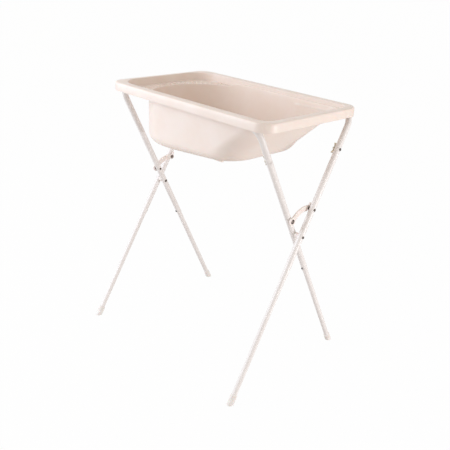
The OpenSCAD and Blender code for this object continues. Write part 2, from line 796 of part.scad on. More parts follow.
// ----------------------------------------------------------- snap buttons --
// Button coordinates: on the leg's centre line, +Z out of the tube through the button

module button_place(top_x, side, s, out) {
  on_leg(top_x, side, s) rotate([out * 90, 0, 0]) children();
}

button_foot_z = plug_bore_r - 2.6;

module button(top_x, side, end_s, out) {
  color(dark_col) button_place(top_x, side, end_s - button_up, out) {
    cap_h = 1.2;
    translate([0, 0, button_foot_z]) cylinder(r = button_r + 1.2, h = 1);
    translate([0, 0, button_foot_z]) cylinder(r = button_r, h = tube_r + button_out - cap_h - button_foot_z);
    translate([0, 0, tube_r + button_out - cap_h]) cylinder(r1 = button_r, r2 = button_r - 1.2, h = cap_h);
  }
}

// A V of spring steel inside the lower leg: one limb carries the button, the other the far wall
module leaf(top_x, side, end_s, out) {
  far = -plug_bore_r + 2.2;
  near = button_foot_z - leaf_t;
  turn_r = (near + leaf_t - far) / 2;
  color(steel_col) button_place(top_x, side, end_s - button_up, out) {
    translate([-leaf_w / 2, 0, 0]) rotate([90, 0, 90]) linear_extrude(leaf_w) {
      translate([-6, near]) square([leaf_l, leaf_t]);
      translate([leaf_l - 6, far + turn_r]) intersection() {
        difference() {
          circle(r = turn_r);
          circle(r = turn_r - leaf_t);
        }
        translate([0, -turn_r]) square([turn_r, 2 * turn_r]);
      }
      translate([-6, far]) square([leaf_l, leaf_t]);
    }
  }
}

module outer_button(side) { outer_place() button(outer_x, side, outer_tube_s, REAR); }
module inner_button(side) { inner_place() button(inner_x, side, inner_tube_s, FRONT); }
module outer_leaf(side) { outer_place() leaf(outer_x, side, outer_tube_s, REAR); }
module inner_leaf(side) { inner_place() leaf(inner_x, side, inner_tube_s, FRONT); }

tub();
drain_spout();
drain_nut();
drain_plug();
rear_tube();
outer_leg_right();
outer_lower(LEFT);  // outer_lower_left
outer_lower(RIGHT);  // outer_lower_right
front_tube();
inner_leg_right();
inner_lower(LEFT);  // inner_lower_left
inner_lower(RIGHT);  // inner_lower_right
outer_foot(LEFT);  // foot_front_left
outer_foot(RIGHT);  // foot_front_right
inner_foot(LEFT);  // foot_rear_left
inner_foot(RIGHT);  // foot_rear_right
outer_place() joint_bolt(outer_x);  // outer_joint_bolt
outer_place() wing_nut(outer_x);  // outer_wing_nut
inner_place() joint_bolt(inner_x);  // inner_joint_bolt
inner_place() wing_nut(inner_x);  // inner_wing_nut
pivot_bolts();
pivot_nuts();
pivot_spacers();
hook_studs();
stud_knobs();
link(LEFT);  // link_left
link(RIGHT);  // link_right
link_rivets();
link_washers();
outer_button(LEFT);  // button_outer_left
outer_button(RIGHT);  // button_outer_right
inner_button(LEFT);  // button_inner_left
inner_button(RIGHT);  // button_inner_right
outer_leaf(LEFT);  // leaf_outer_left
outer_leaf(RIGHT);  // leaf_outer_right
inner_leaf(LEFT);  // leaf_inner_left
inner_leaf(RIGHT);  // leaf_inner_right
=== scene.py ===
"""Dressed scene of a baby bath on a folding X-frame stand.

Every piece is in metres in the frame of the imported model: the origin is on the floor under the middle
of the bath, +X runs to the back rest end and +Y to the rear. The classes hold their sizes in
millimetres, as the construction does.
"""

import json
import logging
import math
from dataclasses import dataclass
from enum import Enum

import bmesh
import bpy
import numpy as np
from mathutils import Matrix


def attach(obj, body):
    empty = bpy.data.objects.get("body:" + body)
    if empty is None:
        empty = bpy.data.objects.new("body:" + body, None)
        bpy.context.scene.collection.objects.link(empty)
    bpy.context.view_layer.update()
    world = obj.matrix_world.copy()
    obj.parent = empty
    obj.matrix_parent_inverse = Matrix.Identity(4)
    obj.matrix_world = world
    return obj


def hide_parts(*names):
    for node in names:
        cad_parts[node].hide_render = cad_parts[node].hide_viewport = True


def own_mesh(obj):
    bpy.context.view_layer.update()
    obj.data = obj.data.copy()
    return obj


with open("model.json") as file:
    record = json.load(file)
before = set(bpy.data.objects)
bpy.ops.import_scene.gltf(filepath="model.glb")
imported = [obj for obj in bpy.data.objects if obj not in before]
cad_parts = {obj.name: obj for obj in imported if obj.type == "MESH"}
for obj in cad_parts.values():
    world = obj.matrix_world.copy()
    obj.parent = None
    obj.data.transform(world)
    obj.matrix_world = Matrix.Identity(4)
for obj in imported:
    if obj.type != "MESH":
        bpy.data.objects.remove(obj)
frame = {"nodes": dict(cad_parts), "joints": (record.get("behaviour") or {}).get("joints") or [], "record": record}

MM = 0.001
WELD_M = 2e-6  # points nearer than this are one point
SLIVER_M = 1e-7  # edges shorter than this are dissolved
LOG = logging.getLogger("bath_stand")


# ------------------------------------------------------------------ tools --


def linear(hex_colour: str) -> tuple[float, float, float, float]:
    """Turns an sRGB hex value into linear RGBA.

    Args:
        hex_colour: A value such as "#F6E6DA".

    Returns:
        The four linear channels.
    """
    srgb = np.array([int(hex_colour[i : i + 2], 16) for i in (1, 3, 5)]) / 255.0
    value = np.where(srgb <= 0.04045, srgb / 12.92, ((srgb + 0.055) / 1.055) ** 2.4)
    return (float(value[0]), float(value[1]), float(value[2]), 1.0)


def add_node(
    tree: bpy.types.NodeTree,
    kind: str,
    values: dict | None = None,
    links: dict | None = None,
    **settings: object,
) -> bpy.types.Node:
    """Adds one node with its settings, its fixed inputs and its links.

    Args:
        tree: The tree that gets the node.
        kind: The node's type.
        values: Input name or number to a fixed value.
        links: Input name or number to the output that feeds it.
        **settings: Properties of the node itself.

    Returns:
        The new node.
    """
    node = tree.nodes.new(kind)
    for name, value in settings.items():
        setattr(node, name, value)
    for name, value in (values or {}).items():
        node.inputs[name].default_value = value
    for name, output in (links or {}).items():
        tree.links.new(output, node.inputs[name])
    return node


def grid_faces(rows: int, columns: int, closed: bool) -> np.ndarray:
    """Quads of a grid of points, row by row.

    Args:
        rows: Number of rows.
        columns: Number of points in a row.
        closed: Whether the last point of a row joins its first.

    Returns:
        An array of shape (faces, 4).
    """
    last = columns if closed else columns - 1
    r, c = np.meshgrid(np.arange(rows - 1), np.arange(last), indexing="ij")
    d = (c + 1) % columns
    quads = np.stack([r * columns + c, r * columns + d, (r + 1) * columns + d, (r + 1) * columns + c], -1)
    return quads.reshape(-1, 4)


def make_piece(
    name: str, grids: list[tuple[np.ndarray, bool]], body: str, finish: "Finish"
) -> bpy.types.Object:
    """Makes one smooth piece from grids of points and gives it its body and finish.

    Args:
        name: The piece's name.
        grids: Arrays of shape (rows, columns, 3) in millimetres, each with whether its rows are rings.
        body: The body that the piece moves with.
        finish: The finish that it wears.

    Returns:
        The new object, at the origin.
    """
    points, quads, base = [], [], 0
    for grid, closed in grids:
        points.append(grid.reshape(-1, 3))
        quads.append(grid_faces(grid.shape[0], grid.shape[1], closed) + base)
        base += grid.shape[0] * grid.shape[1]
    mesh = bpy.data.meshes.new(name)
    mesh.from_pydata(np.concatenate(points) * MM, [], np.concatenate(quads).tolist())
    weld = bmesh.new()
    weld.from_mesh(mesh)
    bmesh.ops.remove_doubles(weld, verts=weld.verts, dist=WELD_M)
    bmesh.ops.dissolve_degenerate(weld, edges=weld.edges, dist=SLIVER_M)
    bmesh.ops.recalc_face_normals(weld, faces=weld.faces)
    weld.to_mesh(mesh)
    weld.free()
    mesh.shade_smooth()
    piece = bpy.data.objects.new(name, mesh)
    bpy.context.scene.collection.objects.link(piece)
    mesh.materials.append(finish.material())
    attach(piece, body)
    return piece


def placed(axes: np.ndarray, place: np.ndarray) -> Matrix:
    """Matrix of an object whose own axes are the columns of axes and that stands at place.

    Args:
        axes: Array of shape (3, 3).
        place: The object's place, in metres.

    Returns:
        A 4 by 4 matrix.
    """
    return Matrix([[*row, p] for row, p in zip(axes, place)] + [[0, 0, 0, 1]])


def apply_modifiers(piece: bpy.types.Object) -> None:
    """Bakes a piece's modifiers into its mesh.

    Args:
        piece: The piece, which keeps its materials and loses its modifiers.
    """
    seen = piece.evaluated_get(bpy.context.evaluated_depsgraph_get())
    mesh = bpy.data.meshes.new_from_object(seen)
    piece.modifiers.clear()
    piece.data = mesh


def arc(start: float, end: float, steps: int) -> np.ndarray:
    """Evenly spaced angles in radians.

    Args:
        start: First angle in degrees.
        end: Last angle in degrees.
        steps: Number of angles.

    Returns:
        The angles.
    """
    return np.radians(np.linspace(start, end, steps))


def turned(profile: np.ndarray, steps: int = 48) -> np.ndarray:
    """Surface of revolution: each profile point (radius, height) goes round Z.

    Args:
        profile: Array of shape (n, 2).
        steps: Points round the axis.

    Returns:
        A grid of closed rings, shape (n, steps, 3).
    """
    a = np.linspace(0, 2 * math.pi, steps, endpoint=False)
    r, z = profile[:, :1], profile[:, 1:]
    return np.stack([r * np.cos(a), r * np.sin(a), np.broadcast_to(z, (len(profile), steps))], -1)


def moved(grid: np.ndarray, matrix: np.ndarray) -> np.ndarray:
    """Carries a grid of points by a 4 by 4 matrix."""
    return grid @ matrix[:3, :3].T + matrix[:3, 3]


# --------------------------------------------------------------- finishes --


class Relief(Enum):
    """How the fine relief of a surface was made."""

    SPARK_ERODED = "ERODED"  # the grain of an eroded steel mould, taken over by the plastic
    ORANGE_PEEL = "PEEL"  # powder paint that flowed together in the oven
    ROLLED = "ROLLED"  # fine lines along the rolling direction of sheet and wire


@dataclass(frozen=True)
class Finish:
    """A real surface: what it is made of, its colour, its gloss and its relief."""

    name: str
    slot: str
    colour: str
    patch_colour: str
    patch_mm: float
    roughness: float
    roughness_swing: float
    relief: Relief
    grain_mm: float
    grain_height_mm: float
    metallic: float = 0.0
    ior: float = 1.5
    subsurface: float = 0.0
    worn_colour: str = ""

    def material(self) -> bpy.types.Material:
        """Returns the finish's one material, made on first use."""
        made = bpy.data.materials.get(self.name)
        return made if made else self._make()

    def _grain(self, tree: bpy.types.NodeTree, place: bpy.types.NodeSocket) -> bpy.types.NodeSocket:
        """Height of the fine relief.

        Args:
            tree: The material's tree.
            place: Object coordinates in metres.

        Returns:
            The output that holds the height from 0 to 1.
        """
        per_metre = 1.0 / (self.grain_mm * MM)
        if self.relief is Relief.ROLLED:
            squeeze = add_node(tree, "ShaderNodeMapping", {"Scale": (1.0, 1.0, 0.04)}, {"Vector": place})
            place = squeeze.outputs["Vector"]
        if self.relief is Relief.ORANGE_PEEL:
            cells = add_node(
                tree, "ShaderNodeTexVoronoi", {"Scale": per_metre, "Smoothness": 1.0}, {"Vector": place},
                feature="SMOOTH_F1",
            )
            return cells.outputs["Distance"]
        noise = add_node(
            tree, "ShaderNodeTexNoise", {"Scale": per_metre, "Detail": 4.0, "Roughness": 0.6},
            {"Vector": place},
        )
        return noise.outputs["Fac"]

    def _make(self) -> bpy.types.Material:
        """Builds the node tree: patches of colour, swinging gloss, fine relief and worn edges.

        Returns:
            The new material.
        """
        material = bpy.data.materials.new(self.name)
        material.use_nodes = True
        tree = material.node_tree
        tree.nodes.clear()
        place = add_node(tree, "ShaderNodeTexCoord").outputs["Object"]
        patches = add_node(
            tree, "ShaderNodeTexNoise",
            {"Scale": 1.0 / (self.patch_mm * MM), "Detail": 3.0, "Roughness": 0.55}, {"Vector": place},
        ).outputs["Fac"]
        spread = add_node(
            tree, "ShaderNodeMapRange", {"From Min": 0.35, "From Max": 0.7}, {"Value": patches}
        ).outputs["Result"]
        colour = add_node(
            tree, "ShaderNodeMix", {6: linear(self.colour), 7: linear(self.patch_colour)}, {0: spread},
            data_type="RGBA",
        ).outputs[2]
        if self.worn_colour:
            edge = add_node(
                tree, "ShaderNodeMapRange", {"From Min": 0.52, "From Max": 0.6},
                {"Value": add_node(tree, "ShaderNodeNewGeometry").outputs["Pointiness"]},
            ).outputs["Result"]
            colour = add_node(
                tree, "ShaderNodeMix", {7: linear(self.worn_colour)}, {0: edge, 6: colour}, data_type="RGBA"
            ).outputs[2]
        low, high = self.roughness - self.roughness_swing, self.roughness + self.roughness_swing
        gloss = add_node(
            tree, "ShaderNodeMapRange", {"To Min": low, "To Max": high}, {"Value": patches}
        ).outputs["Result"]
        bump = add_node(
            tree, "ShaderNodeBump", {"Strength": 1.0, "Distance": self.grain_height_mm * MM},
            {"Height": self._grain(tree, place)},
        ).outputs["Normal"]
        surface = {"Metallic": self.metallic, "Subsurface Weight": self.subsurface, "Subsurface Scale": 0.004}
        if not self.metallic:
            surface["IOR"] = self.ior
        shader = add_node(
            tree, "ShaderNodeBsdfPrincipled", surface,
            {"Base Color": colour, "Roughness": gloss, "Normal": bump},
        )
        add_node(tree, "ShaderNodeOutputMaterial", None, {"Surface": shader.outputs["BSDF"]})
        return material


# Polypropylene, injection moulded, warm off-white: soft gloss, a little light goes into it, and large
# cool and warm patches are barely seen. The mould's grain is 0.4 mm, drawn at 0.9 mm to show at all.
BATH_PLASTIC = Finish(
    "moulded_polypropylene_cream", "bath_plastic", "#F4E8E0", "#F1E3D9", 90.0, 0.36, 0.05,
    Relief.SPARK_ERODED, 0.9, 0.012, ior=1.49, subsurface=0.06,
)
# Powder paint on steel tube, baked: satin, with the shallow dimples of orange peel 1.5 mm apart.
TUBE_PAINT = Finish(
    "powder_coated_steel_white", "tube_paint", "#F1EDEB", "#EDE8E6", 60.0, 0.32, 0.03,
    Relief.ORANGE_PEEL, 1.5, 0.004,
)
# Polyamide, moulded, off-white: duller than the bath, with a coarser grain of 0.7 mm.
LINK_PLASTIC = Finish(
    "moulded_polyamide_white", "link_plastic", "#F3EAE6", "#EBE0DA", 24.0, 0.42, 0.05,
    Relief.SPARK_ERODED, 0.7, 0.015, ior=1.53, subsurface=0.04,
)
# Soft polyethylene caps: dull, with faint grey patches of dust.
FOOT_PLASTIC = Finish(
    "moulded_polyethylene_foot", "foot_cap", "#F3EFEC", "#EAE3DE", 14.0, 0.5, 0.06,
    Relief.SPARK_ERODED, 0.6, 0.02, subsurface=0.05,
)
# Blackened and oiled steel: nearly black, satin, bare metal shining through on the edges.
DARK_STEEL = Finish(
    "blackened_steel", "dark_steel", "#453D39", "#544B45", 3.0, 0.38, 0.08,
    Relief.SPARK_ERODED, 0.5, 0.01, metallic=0.7, worn_colour="#7A6E66",
)
# Cast brass gone brown: dull, with darker tarnish in patches of 4 mm.
BRASS = Finish(
    "tarnished_brass", "wing_brass", "#D9D1BF", "#BDB29C", 4.0, 0.42, 0.1,
    Relief.SPARK_ERODED, 0.6, 0.03, metallic=0.8, worn_colour="#E8E2D4",
)
# Acetal, moulded, black: satin.
BUTTON_PLASTIC = Finish(
    "moulded_acetal_black", "button_plastic", "#2B2625", "#211D1C", 3.0, 0.35, 0.05,
    Relief.SPARK_ERODED, 0.5, 0.008, ior=1.48,
)
# Cold rolled spring steel: bright grey, lines along the strip.
SPRING_STEEL = Finish(
    "rolled_spring_steel", "spring_steel", "#B9B8B6", "#A5A3A0", 10.0, 0.28, 0.05,
    Relief.ROLLED, 0.4, 0.004, metallic=1.0,
)
# Soft rubber, moulded: matt, off-white.
PLUG_RUBBER = Finish(
    "moulded_rubber_offwhite", "plug_rubber", "#EAE1DA", "#DFD4CB", 8.0, 0.6, 0.06,
    Relief.SPARK_ERODED, 0.5, 0.015, ior=1.52,
)

FINISHES = (
    BATH_PLASTIC, TUBE_PAINT, LINK_PLASTIC, FOOT_PLASTIC, DARK_STEEL, BRASS, BUTTON_PLASTIC, SPRING_STEEL,
    PLUG_RUBBER,
)


# ------------------------------------------------------------------- shot --


@dataclass
class Shot:
    """The camera, solved from the outlines of the object in the picture.

    Angles are in degrees, and focal length and centre in pixels of the square picture.
    """

    azimuth: float = 44.41
    elevation: float = 22.665
    distance: float = 2632.0
    target_x: float = -46.3
    target_z: float = 465.6
    focal_px: float = 654.8
    centre_px: tuple[float, float] = (213.3, 223.4)
    roll: float = 3.5
    frame_px: float = 450.0

    def build(self) -> None:
        """Makes the camera and gives it to the scene."""
        a, e, r = (math.radians(v) for v in (self.azimuth, self.elevation, self.roll))
        back = np.array([math.sin(a) * math.cos(e), -math.cos(a) * math.cos(e), math.sin(e)])
        level = np.cross([0.0, 0.0, 1.0], back)
        level /= np.linalg.norm(level)
        upright = np.cross(back, level)
        right = math.cos(r) * level + math.sin(r) * upright
        up = -math.sin(r) * level + math.cos(r) * upright
        place = (np.array([self.target_x, 0.0, self.target_z]) + back * self.distance) * MM
        data = bpy.data.cameras.new("camera")
        data.sensor_width = 36.0
        data.lens = self.focal_px * data.sensor_width / self.frame_px
        data.shift_x = (self.frame_px / 2 - self.centre_px[0]) / self.frame_px
        data.shift_y = (self.centre_px[1] - self.frame_px / 2) / self.frame_px
        data.dof.use_dof = False
        camera = bpy.data.objects.new("camera", data)
        camera.matrix_world = placed(np.stack([right, up, back], 1), place)
        bpy.context.scene.collection.objects.link(camera)
        bpy.context.scene.camera = camera


@dataclass(frozen=True)
class Lamp:
    """A square soft lamp: its place and side in metres, its power in watts and its colour."""

    name: str
    place: tuple[float, float, float]
    size: float
    power: float
    colour: str
    aim: tuple[float, float, float] = (0.0, 0.0, 0.8)

    def build(self) -> None:
        """Hangs the lamp so that it faces the point it aims at."""
        data = bpy.data.lights.new(self.name, "AREA")
        data.shape = "SQUARE"
        data.size = self.size
        data.energy = self.power
        data.color = linear(self.colour)[:3]
        lamp = bpy.data.objects.new(self.name, data)
        back = np.array(self.place) - np.array(self.aim)
        back /= np.linalg.norm(back)
        side = np.cross([0.0, 0.0, 1.0], back)
        side /= np.linalg.norm(side)
        lamp.matrix_world = placed(np.stack([side, np.cross(back, side), back], 1), np.array(self.place))
        bpy.context.scene.collection.objects.link(lamp)


@dataclass
class Studio:
    """A white floor that runs into a white background, with soft light from the left and the right."""

    lamps: tuple[Lamp, ...] = (
        Lamp("key_lamp", (-2.2, -2.6, 1.6), 2.4, 80.0, "#E6F1FF"),
        Lamp("fill_lamp", (3.0, 0.8, 0.25), 1.0, 50.0, "#F8FAFF"),
    )
    sky: float = 0.7
    sky_colour: str = "#FFF7EF"
    floor_colour: str = "#DAD7D5"
    floor_glow: float = 0.98
    floor_half: float = 60.0

    def _floor(self) -> None:
        """Lays the floor. Seen by the camera it is nearly the background's white, and keeps a soft shadow."""
        mesh = bpy.data.meshes.new("studio_floor")
        half = self.floor_half
        square = [(-half, -half, 0), (half, -half, 0), (half, half, 0), (-half, half, 0)]
        mesh.from_pydata(square, [], [(0, 1, 2, 3)])
        floor = bpy.data.objects.new("studio_floor", mesh)
        bpy.context.scene.collection.objects.link(floor)
        material = bpy.data.materials.new("painted_studio_floor")
        material.use_nodes = True
        tree = material.node_tree
        tree.nodes.clear()
        paint = add_node(tree, "ShaderNodeBsdfDiffuse", {"Color": linear(self.floor_colour)})
        glow = add_node(tree, "ShaderNodeEmission", {"Color": (1, 1, 1, 1), "Strength": 1.0})
        seen = add_node(
            tree, "ShaderNodeMath", {1: self.floor_glow},
            {0: add_node(tree, "ShaderNodeLightPath").outputs["Is Camera Ray"]}, operation="MULTIPLY",
        )
        mixed = add_node(
            tree, "ShaderNodeMixShader", None, {0: seen.outputs[0], 1: paint.outputs[0], 2: glow.outputs[0]}
        )
        add_node(tree, "ShaderNodeOutputMaterial", None, {"Surface": mixed.outputs[0]})
        mesh.materials.append(material)

    def _world(self) -> None:
        """Sets an even pale light. Camera, mirror and glass rays see plain white."""
        world = bpy.data.worlds.new("studio")
        bpy.context.scene.world = world
        world.use_nodes = True
        tree = world.node_tree
        tree.nodes.clear()
        light = add_node(
            tree, "ShaderNodeBackground", {"Color": linear(self.sky_colour), "Strength": self.sky}
        )
        white = add_node(tree, "ShaderNodeBackground", {"Color": (1, 1, 1, 1), "Strength": 1.0})
        path = add_node(tree, "ShaderNodeLightPath")
        either = add_node(
            tree, "ShaderNodeMath", None,
            {0: path.outputs["Is Camera Ray"], 1: path.outputs["Is Glossy Ray"]}, operation="MAXIMUM",
        )
        any_ray = add_node(
            tree, "ShaderNodeMath", None,
            {0: either.outputs[0], 1: path.outputs["Is Transmission Ray"]}, operation="MAXIMUM",
        )
        mixed = add_node(
            tree, "ShaderNodeMixShader", None,
            {0: any_ray.outputs[0], 1: light.outputs[0], 2: white.outputs[0]},
        )
        add_node(tree, "ShaderNodeOutputWorld", None, {"Surface": mixed.outputs[0]})

    def build(self) -> None:
        """Makes the floor, the world and the lamps."""
        self._floor()
        self._world()
        for lamp in self.lamps:
            lamp.build()
        bpy.context.scene.view_settings.view_transform = "Standard"


# ------------------------------------------------------------------- bath --


@dataclass
class Bath:
    """The moulded bath: a skin carried through rings, from the basin over the rim to the underside."""

    length: float = 800.0
    width: float = 500.0
    rim_height: float = 1000.0
    wall: float = 3.2
    skirt: float = 32.0
    rim_corner: float = 56.0
    rim_edge: float = 6.0
    under_bevel: float = 3.0
    lip: float = 3.0
    cove: float = 1.2
    taper: float = 0.6
    rim_side: float = 32.5
    rim_foot: float = 20.0
    rim_rest: float = 30.0
    shelf_drop: float = 14.0
    soap_drop: float = 30.0
    shelf_length: float = 50.0
    shelf_corner: float = 84.0
    ramp: tuple[float, float] = (-205.0, -165.0)
    ramp_soft: float = 0.12
    side_ledge: float = 5.0
    rest_ledge: float = 8.0
    basin_depth: float = 198.0
    side_draft: float = 5.0
    foot_lean: float = 5.0
    rest_lean: float = 127.0
    foot_radii: tuple[float, float] = (196.0, 170.0)
    rest_radii: tuple[float, float] = (60.0, 120.0)
    floor_fillet: float = 36.0
    rest_bend: float = 46.0
    seat_rise: float = 27.0
    rise_span: tuple[float, float] = (-115.0, 230.0)
    rise_soft: float = 0.03
    step_in: float = 6.0
    step_drop: float = 28.0
    step_from: float = 137.0
    soft_step: float = 110.0
    drain_x: float = -155.0
    drain_radius: float = 21.3
    pad_x: tuple[float, float] = (40.0, 96.0)
    pad_y: float = 115.0
    pad_half: float = 7.0
    pad_corner: float = 4.0
    pad_edge: float = 1.5
    pad_out: float = 4.0
    rib_pairs: int = 13
    rib_turn: float = 5.3
    rib_length: float = 34.0
    rib_radius: float = 3.0
    rib_gap: float = 3.0
    rib_tall: float = 1.6
    corner_points: int = 18
    side_points: int = 56
    end_points: int = 20

    def __post_init__(self) -> None:
        """Works out the plans and heights that the rings share."""
        self.shelf_z = self.rim_height - self.shelf_drop
        left = -self.length / 2 + self.rim_foot
        right = self.length / 2 - self.rim_rest
        half = self.width / 2 - self.rim_side
        self.mouth = np.array([
            left + self.shelf_length, right - self.rest_ledge, half - self.side_ledge,
            self.foot_radii[0], self.rest_radii[0],
        ])
        rest_corner = self.rim_corner - self.rim_side / 2
        self.well = np.array([left, right, half, self.shelf_corner, rest_corner])
        self.rim = np.array([
            -self.length / 2, self.length / 2, self.width / 2, self.rim_corner, self.rim_corner,
        ])
        self.wall_height = self.basin_depth - self.floor_fillet
        self.floor_z = self.shelf_z - self.basin_depth
        slope_run = self.wall_height - self.seat_rise * float(self.rise(self.mouth[1] - self.rest_lean))
        self.rest_slope = math.atan(self.rest_lean / slope_run)

    def ramped(self, x: np.ndarray | float, span: tuple[float, float], soft: float) -> np.ndarray:
        """Share of a ramp at x: 0, then a straight ramp, then 1, with softened ends.

        It is half of 1 plus the difference of two hyperbolas, which turn at the ramp's start and at its
        end. Each nears the distance from its own turn, so the ramp is straight between the two.

        Args:
            x: Places along the bath.
            span: Where the ramp starts and ends.
            soft: Radius of the soft ends, as a share of the ramp.

        Returns:
            The shares.
        """
        t = (np.asarray(x, float) - span[0]) / (span[1] - span[0])
        return 0.5 * (1 + np.sqrt(t**2 + soft**2) - np.sqrt((t - 1) ** 2 + soft**2))

    def rise(self, x: np.ndarray | float) -> np.ndarray:
        """Returns the share of the floor's rise at x."""
        return self.ramped(x, self.rise_span, self.rise_soft)

    def level(self, x: np.ndarray) -> np.ndarray:
        """Returns the height of the ledge round the basin at x: it lies lower at the soap shelf."""
        share = self.ramped(x, self.ramp, self.ramp_soft)
        return self.rim_height - self.soap_drop + (self.soap_drop - self.shelf_drop) * share

    def grown(self, plan: np.ndarray, by: float) -> np.ndarray:
        """Returns the plan made wider all round."""
        return plan + by * np.array([-1.0, 1.0, 1.0, 1.0, 1.0])

    def loop(self, plan: np.ndarray) -> np.ndarray:
        """Points round a rectangle with rounded corners.

        Each corner is a quarter circle about its own centre, and straight runs join them, counted from
        the front foot corner and on to the front rest corner, the rear rest corner and the rear foot
        corner.

        Args:
            plan: Left x, right x, half width, radius of the foot corners, radius of the rest corners.

        Returns:
            An array of shape (points, 2).
        """
        left, right, half, foot_r, rest_r = plan
        foot, rest = arc(180, 270, self.corner_points), arc(270, 360, self.corner_points)
        side = np.linspace(0, 1, self.side_points + 2)[1:-1]
        end = np.linspace(-1, 1, self.end_points + 2)[1:-1]
        x = np.concatenate([
            left + foot_r + foot_r * np.cos(foot),
            left + foot_r + (right - rest_r - left - foot_r) * side,
            right - rest_r + rest_r * np.cos(rest),
        ])
        y = np.concatenate([
            -half + foot_r + foot_r * np.sin(foot), np.full(self.side_points, -half),
            -half + rest_r + rest_r * np.sin(rest),
        ])
        ring_x = np.concatenate([x, np.full(self.end_points, right), x[::-1], np.full(self.end_points, left)])
        ring_y = np.concatenate([y, end * (half - rest_r), -y[::-1], -end * (half - foot_r)])
        return np.stack([ring_x, ring_y], 1)

    def ring(self, plan: np.ndarray, z: float) -> np.ndarray:
        """Returns a level ring at the height z."""
        xy = self.loop(plan)
        return np.column_stack([xy, np.full(len(xy), z)])

    def ledge_ring(
        self, plan: np.ndarray, up: float, towards: np.ndarray | None = None, t: float = 0.0
    ) -> np.ndarray:
        """A ring that follows the ledge.

        Args:
            plan: The ring's plan.
            up: Its height over the ledge.
            towards: A second plan.
            t: Share of the way to that plan.

        Returns:
            An array of shape (points, 3).
        """
        xy = self.loop(plan)
        if towards is not None:
            xy = xy + t * (self.loop(towards) - xy)
        return np.column_stack([xy, self.level(xy[:, 0]) + up])

    def basin_ring(self, plan: np.ndarray, z: float, share: float, out: float) -> np.ndarray:
        """A ring of the basin.

        Its height runs from the ledge's to that of the sloping floor by the given share, and below the
        step it is narrower beside the back rest. Along x the step begins short at its top edge and ever
        softer further down, and on the outer skin it is soft all the way.

        Args:
            plan: The ring's plan.
            z: Its height on the level part of the floor at the full share.
            share: Share of the wall's height, from 0 to 1.
            out: Distance outside the basin's inner skin.

        Returns:
            An array of shape (points, 3).
        """
        xy = self.loop(plan)
        low = self.step_in / self.mouth[2] if share > self.step_drop / self.wall_height else 0.0
        length = self.soft_step if out else self.step_in + share * (self.soft_step - self.step_in)
        ramp = np.clip((xy[:, 0] - self.step_from + self.step_in / 2) / length, 0, 1)
        ramp = ramp**2 * (3 - 2 * ramp)
        height = (1 - share) * self.level(xy[:, 0]) + share * (z + self.seat_rise * self.rise(xy[:, 0]))
        return np.column_stack([xy[:, 0], xy[:, 1] * (1 - low * ramp), height])

    def wall_plan(self, share: float, out: float) -> np.ndarray:
        """Plan of the basin's wall.

        It runs straight from the mouth's to the wall's foot: each end leans in, and the sides draw in
        by the draft.

        Args:
            share: Share of the wall's height, counted from the mouth.
            out: Distance outside the basin's skin.

        Returns:
            The plan.
        """
        draw = self.wall_height * math.tan(math.radians(self.side_draft))
        plan = self.mouth + share * np.array([
            self.foot_lean, -self.rest_lean, -draw, self.foot_radii[1] - self.foot_radii[0],
            self.rest_radii[1] - self.rest_radii[0],
        ])
        return self.grown(plan, out)

    def wall_ring(self, share: float, out: float) -> np.ndarray:
        """Returns the ring of the basin's wall at a share of its height and a distance outside its skin."""
        return self.basin_ring(self.wall_plan(share, out), self.shelf_z - self.wall_height, share, out)

    def fillet_plan(self, angle: float, out: float) -> tuple[np.ndarray, float]:
        """Plan and height of one ring of the fillet between wall and floor.

        The sides follow a quarter circle. The back rest first keeps its slope, then bends into the floor
        on its own radius.

        Args:
            angle: Angle round the quarter circle, in degrees.
            out: Distance outside the basin's skin.

        Returns:
            The plan and the height where the floor is level.
        """
        r, bend, s = self.floor_fillet + out, self.rest_bend + out, self.rest_slope
        a = math.radians(angle)
        inward, depth = r * (1 - math.cos(a)), r * math.sin(a)
        straight = max(0.0, r - bend * (1 - math.sin(s)))
        run = min(depth, straight) * math.tan(s)
        if depth > straight:
            turned_to = math.asin(min(1.0, math.sin(s) + (depth - straight) / bend))
            run += bend * math.cos(s) - bend * math.cos(turned_to)
        plan = self.wall_plan(1.0, out) + np.array([inward, -run, -inward, -inward, -(inward + run) / 2])
        return plan, self.shelf_z - self.wall_height - depth

    def floor_rings(self, out: float) -> list[np.ndarray]:
        """Rings that close the floor: the fillet's last ring drawn in to a middle line 0.4 as long.

        Args:
            out: Distance outside the basin's skin.

        Returns:
            The rings from the middle outwards.
        """
        plan, z = self.fillet_plan(90.0, out)
        xy = self.loop(plan)
        middle = (plan[0] + plan[1]) / 2
        rings = []
        for t in np.linspace(0, 1, 8)[:-1]:
            x = middle + (xy[:, 0] - middle) * (0.4 + 0.6 * t)
            rings.append(np.column_stack([x, xy[:, 1] * t, z + self.seat_rise * self.rise(x)]))
        return rings

    def shares(self) -> np.ndarray:
        """Returns the shares of the wall's height that have a ring, two of them close round the step."""
        step = self.step_drop / self.wall_height
        return np.unique(np.concatenate([np.linspace(0.04, 1.0, 15), [step - 0.01, step + 0.01]]))

    def fillet_rings(self, out: float) -> list[np.ndarray]:
        """Returns the rings of the fillet between wall and floor, from the wall down."""
        plans = [self.fillet_plan(float(angle), out) for angle in np.linspace(0, 90, 9)]
        return [self.basin_ring(plan, z, 1.0, out) for plan, z in plans]

